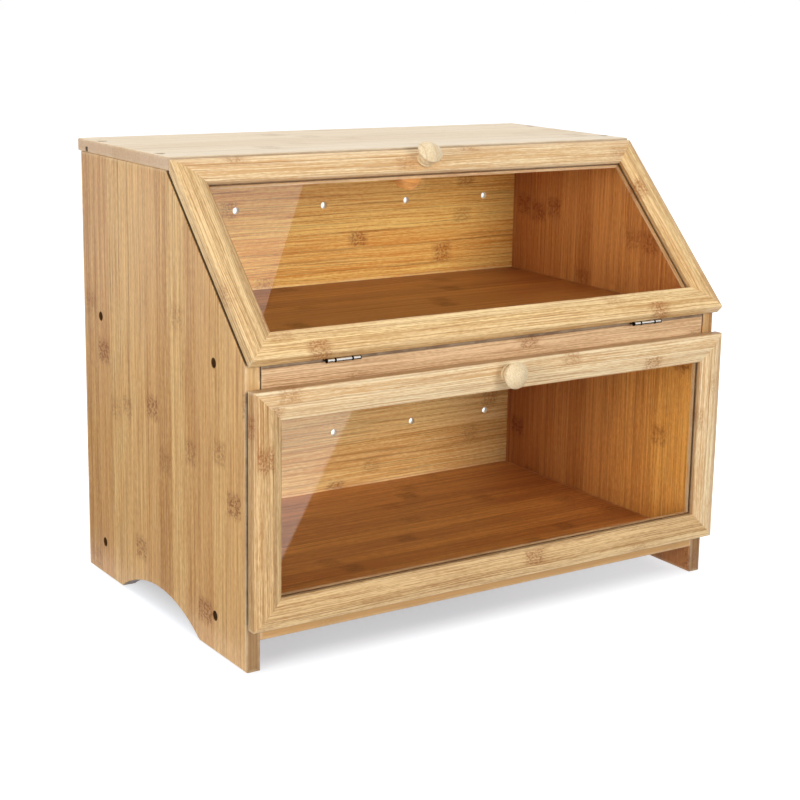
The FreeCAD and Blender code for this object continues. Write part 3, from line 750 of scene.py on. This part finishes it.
# Node, finish, the axis its grain runs along, the axis its strips lie along, seed and tinted faces.
BOARDS = (
    ("left_side_panel", SIDES, Z, Y, 1.0, LEFT_FRONT),
    ("right_side_panel", SIDES, Z, Y, 22.0, SHADED_RIGHT_FRONT),
    ("top_panel", SHEENED_TOP, X, Y, 3.0, TOP_EDGES),
    ("middle_shelf", SHADED_UPPER_SHELF, X, Y, 4.0, SHELF_EDGES),
    ("bottom_shelf", SHADED_LOWER_SHELF, X, Y, 5.0, SHELF_EDGES),
    ("middle_front_rail", FRONT, X, Z, 6.0, SHADED_RAIL_ENDS),
    ("upper_back_panel", UPPER_BACK, X, Z, 7.0, ()),
    ("lower_back_panel", LOWER_BACK, X, Z, 8.0, ()),
    ("upper_catch_block", SHADED_CATCH, X, Z, 9.0, ()),
    ("lower_door_bottom_rail", SHADED_RAILS, X, Z, 10.0, BELOW_WINDOW),
    ("lower_door_top_rail", LIT_RAILS, X, Z, 11.0, ABOVE_WINDOW),
    ("lower_door_left_stile", SHADED_RAILS, Z, X, 12.0, LEFT_OF_WINDOW),
    ("lower_door_right_stile", LIT_RAILS, Z, X, 13.0, RIGHT_OF_WINDOW),
    ("upper_door_bottom_rail", RAILS, X, SLOPE_UP, 14.0, BELOW_WINDOW),
    ("upper_door_top_rail", LIT_RAILS, X, SLOPE_UP, 15.0, ABOVE_WINDOW),
    ("upper_door_left_stile", SHADED_RAILS, SLOPE_UP, X, 16.0, LEFT_OF_WINDOW),
    ("upper_door_right_stile", RAILS, SLOPE_UP, X, 17.0, RIGHT_OF_WINDOW),
    ("upper_door_knob", KNOBS, SLOPE_UP.cross(X), X, 18.0, ()),
    ("lower_door_knob", KNOBS, Y, X, 19.0, ()),
)


def dress(node, material):
    """Gives a CAD node its material, in every slot that it has."""
    for slot in nodes[node].material_slots:
        slot.material = material


def dress_boards():
    for node, finish, along, across, seed, faces in BOARDS:
        dress(node, board_material(node, finish, along, across, seed, faces))


# ---------------------------------------------------------------- metal and acrylic

# Painted shade in the gaps between a hinge's knuckles.
KNUCKLE_SHADE_BROWN = (38, 32, 27)
KNUCKLE_GAP_MM = (0.5, 0.9)
# Cycles per metre of the plating's clouds and, along the hinges, of its scratches.
CLOUD_SCALE = 220.0
SCRATCH_ALONG = 60.0
# The height in metres and the strength of each relief.
PLATING_RELIEF = (0.00004, 0.5)
ACRYLIC_RELIEF = (0.00002, 0.3)
# The haze in the acrylic: cycles per metre, the noise's levels between which it grows, and its roughness.
HAZE_SCALE = 14.0
HAZE_LEVELS = (0.55, 0.8)
HAZE_ROUGHNESS = 0.03
WAVE_SCALE = 9.0
ACRYLIC_TINT = (0.985, 0.99, 0.985, 1.0)
ACRYLIC_SHADE = (0.98, 0.98, 0.975, 1.0)
ACRYLIC_IOR = 1.49

# Name, bright and dull colour, roughness, spacing of the scratches in millimetres, depth of the dents.
METALS = {
    "hinge": ("hinge_steel", (246, 244, 240), (208, 204, 196), 0.14, 0.25, 0.6),
    "screw": ("screw_steel", (176, 168, 152), (122, 112, 98), 0.28, 0.2, 0.8),
    # The panel screws are painted dark brown as the shade in their deep holes.
    "panel_screw": ("panel_screw_shaded_steel", (132, 88, 60), (60, 38, 26), 0.42, 0.2, 1.0),
    "magnet": ("magnet_nickel", (206, 202, 194), (170, 164, 154), 0.16, 0.3, 0.3),
}


def knuckle_gaps(g, place):
    """1 in the gaps between a hinge's knuckles and at its two ends, which are painted dark as shade."""
    hinge_middle, _ = span("upper_right_hinge_pin", X)
    _, half = span("upper_right_hinge_fixed_leaf", X)
    from_middle = g.absolute(g.minus(g.absolute(g.dot(place, X * MM)), hinge_middle))
    from_gap = g.absolute(g.minus(from_middle, half / 2))
    narrow, wide = KNUCKLE_GAP_MM
    at_end = g.smooth(from_middle, half - wide, half - narrow)
    return g.most(g.fade(from_gap, narrow, wide), at_end)


def metal_material(name, bright, dull, rough, scratch_mm, dents, gaps=None):
    """Plated steel: a cloudy plating, fine scratches and a slightly uneven shine."""
    material, g = new_material(name)
    place = g.node("TexCoord").outputs["Object"]
    cloud = g.noise(place, scale=CLOUD_SCALE, detail=3.0)
    across = [g.dot(place, axis * MM / scratch_mm) for axis in (Y, Z)]
    scratch = g.noise(g.vector(g.dot(place, X * SCRATCH_ALONG), *across), detail=2.0, roughness=0.7)
    shader = g.node("BsdfPrincipled")
    shader.inputs["Metallic"].default_value = 1.0
    color = g.mix(g.weigh((cloud, 0.6), (scratch, 0.4)), linear(*dull), linear(*bright))
    if gaps:
        color = g.mix(gaps(g, place), color, linear(*KNUCKLE_SHADE_BROWN))
    g.put(color, shader.inputs["Base Color"])
    g.put(g.add(rough, g.times(cloud, 0.12), g.times(scratch, 0.1)), shader.inputs["Roughness"])
    g.put(g.bump(g.add(scratch, g.times(cloud, dents)), *PLATING_RELIEF), shader.inputs["Normal"])
    g.surface(shader.outputs[0])
    return material


def acrylic_material():
    """Clear acrylic sheet with a trace of haze. Lamps shine through it."""
    material, g = new_material("acrylic_sheet")
    place = g.node("TexCoord").outputs["Object"]
    haze = g.noise(place, scale=HAZE_SCALE, detail=3.0)
    wave = g.noise(place, scale=WAVE_SCALE, detail=0.0)
    shader = g.node("BsdfPrincipled")
    shader.inputs["Base Color"].default_value = ACRYLIC_TINT
    shader.inputs["Transmission Weight"].default_value = 1.0
    shader.inputs["IOR"].default_value = ACRYLIC_IOR
    g.put(g.smooth(haze, *HAZE_LEVELS, 0.0, HAZE_ROUGHNESS), shader.inputs["Roughness"])
    g.put(g.bump(wave, *ACRYLIC_RELIEF), shader.inputs["Normal"])
    clear = g.node("BsdfTransparent")
    clear.inputs["Color"].default_value = ACRYLIC_SHADE
    for_lamps = g.node("LightPath").outputs["Is Shadow Ray"]
    g.surface(g.either(for_lamps, shader.outputs[0], clear.outputs[0]))
    return material


def dress_hardware():
    hinge = metal_material(*METALS["hinge"], knuckle_gaps)
    screw, panel_screw, magnet = (metal_material(*METALS[k]) for k in ("screw", "panel_screw", "magnet"))
    acrylic = acrylic_material()
    for name in nodes:
        if "_hinge_" in name and not name.endswith("screws"):
            dress(name, hinge)
        elif name.endswith("panel_screws"):
            dress(name, panel_screw)
        elif name.endswith(("screws", "knob_screw", "strike_screw", "strike_plate")):
            dress(name, screw)
        elif name.endswith("magnet"):
            dress(name, magnet)
        elif name.endswith("window"):
            dress(name, acrylic)


# ---------------------------------------------------------------- studio

# All the studio's colours are linear.
WHITE = (1.0, 1.0, 1.0, 1.0)
AMBIENT = 0.27
FLOOR_SIZE = 40.0
FLOOR_DROP = 0.0002
FLOOR_TINT = (0.985, 0.99, 1.0, 1.0)
FLOOR_SHOWN = (0.43, 0.47, 0.52, 1.0)
FLOOR_PLAIN = (0.6, 0.6, 0.6, 1.0)
# The floor's own white under the box, turned down there as a painted shadow, how much more to its right as
# painted light and between which places across, the half sizes of the box's footprint, and the distances
# outside it between which the white rises to 1.
SHADOW_LIFT = 0.48
RIGHT_LIFT = 0.13
RIGHT_LIFT_PLACES = (-0.05, 0.25)
FOOTPRINT = (0.195, 0.118)
SHADOW_EDGE = (-0.028, 0.02)

# Dark cards, seen only in reflections, as a photographer hangs them. They leave the windows a slanted
# glare and take the sheen off the lower part of the side. Corners, then grey level.
CARDS = {
    "floor_card": (
        [(-0.17, -0.175, 0.004), (0.415, -0.922, 0.004), (1.3, -1.1, 0.004), (1.3, -0.1, 0.004)],
        0.02,
    ),
    "overhead_card": (
        [(0.438, 0.1, 1.1), (0.194, -0.6, 1.1), (1.5, -0.9, 1.1), (1.5, 0.4, 1.1)],
        0.02,
    ),
    "side_card": (
        [(-0.21, -0.2, 0.003), (-0.21, 0.7, 0.003), (-0.9, 1.5, 0.003), (-0.9, -0.2, 0.003)],
        0.06,
    ),
}

# Name, place, size across, watts and whether gloss shows it.
LAMPS = (
    ("front_softbox", (0.9, -5.7, 1.75), 2.4, 163.0, False),
    ("overhead_softbox", (-0.2, 0.6, 2.5), 1.6, 31.0, False),
    ("left_softbox", (-2.0, -0.9, 0.34), 1.0, 26.0, True),
    ("right_softbox", (2.4, 0.6, 0.5), 1.2, 9.0, False),
)
LAMP_COLOUR = (1.0, 0.99, 0.98)
LAMP_AIM = Vector((0.0, 0.0, 0.14))


def backdrop_share(g):
    """1 for rays that show the white backdrop: from the camera, in gloss or through the windows."""
    path = g.node("LightPath").outputs
    seen = g.most(path["Is Camera Ray"], path["Is Glossy Ray"])
    seen = g.most(seen, path["Is Transmission Ray"])
    return g.times(seen, g.math("LESS_THAN", path["Diffuse Depth"], 0.5))


def white_world():
    world = bpy.data.worlds.new("studio_white")
    world.use_nodes = True
    g = Graph(world.node_tree)
    background = world.node_tree.nodes["Background"].inputs
    background["Color"].default_value = WHITE
    g.put(g.add(AMBIENT, g.times(backdrop_share(g), 1.0 - AMBIENT)), background["Strength"])
    bpy.context.scene.world = world


def plane(name, corners):
    mesh = bpy.data.meshes.new(name)
    mesh.from_pydata(corners, [], [list(range(len(corners)))])
    made = bpy.data.objects.new(name, mesh)
    bpy.context.scene.collection.objects.link(made)
    return made


def diffuse(g, color):
    shader = g.node("BsdfDiffuse")
    shader.inputs["Color"].default_value = color
    return shader.outputs[0]


def floor_glow(g):
    """The floor's own white, turned down under and beside the box as a painted soft shadow, lighter to the
    right.
    """
    place = g.node("TexCoord").outputs["Object"]
    beside = g.minus(g.absolute(g.dot(place, X)), FOOTPRINT[0])
    before = g.minus(g.absolute(g.dot(place, Y)), FOOTPRINT[1])
    under = g.smooth(g.dot(place, X), *RIGHT_LIFT_PLACES, SHADOW_LIFT, SHADOW_LIFT + RIGHT_LIFT)
    glow = g.node("Emission")
    glow.inputs["Color"].default_value = FLOOR_TINT
    g.put(g.smooth(g.most(beside, before), *SHADOW_EDGE, under, 1.0), glow.inputs["Strength"])
    return glow.outputs[0]


def floor_material():
    """A pale floor: near the box its white keeps the soft shadow, and far out it is the white backdrop."""
    material, g = new_material("studio_floor")
    shown = g.node("AddShader")
    g.put(diffuse(g, FLOOR_SHOWN), shown.inputs[0])
    g.put(floor_glow(g), shown.inputs[1])
    g.surface(g.either(backdrop_share(g), diffuse(g, FLOOR_PLAIN), shown.outputs[0]))
    return material


def add_floor():
    half = FLOOR_SIZE / 2
    corners = [(-half, -half, 0), (half, -half, 0), (half, half, 0), (-half, half, 0)]
    floor = plane("studio_floor", corners)
    floor.location.z = -FLOOR_DROP
    floor.data.materials.append(floor_material())


def card_material(name, grey):
    """A matt card that only reflections show. A look through a window passes it by."""
    material, g = new_material(name)
    mirrored = g.math("GREATER_THAN", g.node("LightPath").outputs["Glossy Depth"], 0.5)
    share = g.times(backdrop_share(g), mirrored)
    clear = g.node("BsdfTransparent").outputs[0]
    g.surface(g.either(share, clear, diffuse(g, (grey, grey, grey, 1.0))))
    return material


def add_cards():
    for name, (corners, grey) in CARDS.items():
        card = plane(name, corners)
        card.data.materials.append(card_material(name, grey))
        card.visible_camera = False
        card.visible_diffuse = False
        card.visible_shadow = False


def add_lamps():
    for name, place, size, watts, in_gloss in LAMPS:
        data = bpy.data.lights.new(name, "AREA")
        data.shape = "SQUARE"
        data.size = size
        data.energy = watts
        data.color = LAMP_COLOUR
        lamp = bpy.data.objects.new(name, data)
        bpy.context.scene.collection.objects.link(lamp)
        lamp.location = place
        lamp.rotation_euler = (LAMP_AIM - Vector(place)).to_track_quat("-Z", "Y").to_euler()
        lamp.visible_camera = False
        lamp.visible_glossy = in_gloss


def add_camera():
    data = bpy.data.cameras.new("photo_camera")
    data.sensor_width = SENSOR_MM
    data.lens = FOCAL_PX * SENSOR_MM / PICTURE
    data.shift_x = (PICTURE / 2 - CENTRE_PX[0]) / PICTURE
    data.shift_y = (CENTRE_PX[1] - PICTURE / 2) / PICTURE
    data.clip_start, data.clip_end = CLIP
    camera = bpy.data.objects.new("photo_camera", data)
    bpy.context.scene.collection.objects.link(camera)
    turn = Matrix((CAMERA_RIGHT, -CAMERA_DOWN, -CAMERA_AHEAD)).transposed()
    camera.matrix_world = Matrix.Translation(CAMERA_PLACE) @ turn.to_4x4()
    bpy.context.scene.camera = camera


dress_boards()
dress_hardware()
white_world()
add_floor()
add_cards()
add_lamps()
add_camera()
bpy.context.scene.view_settings.view_transform = "Standard"
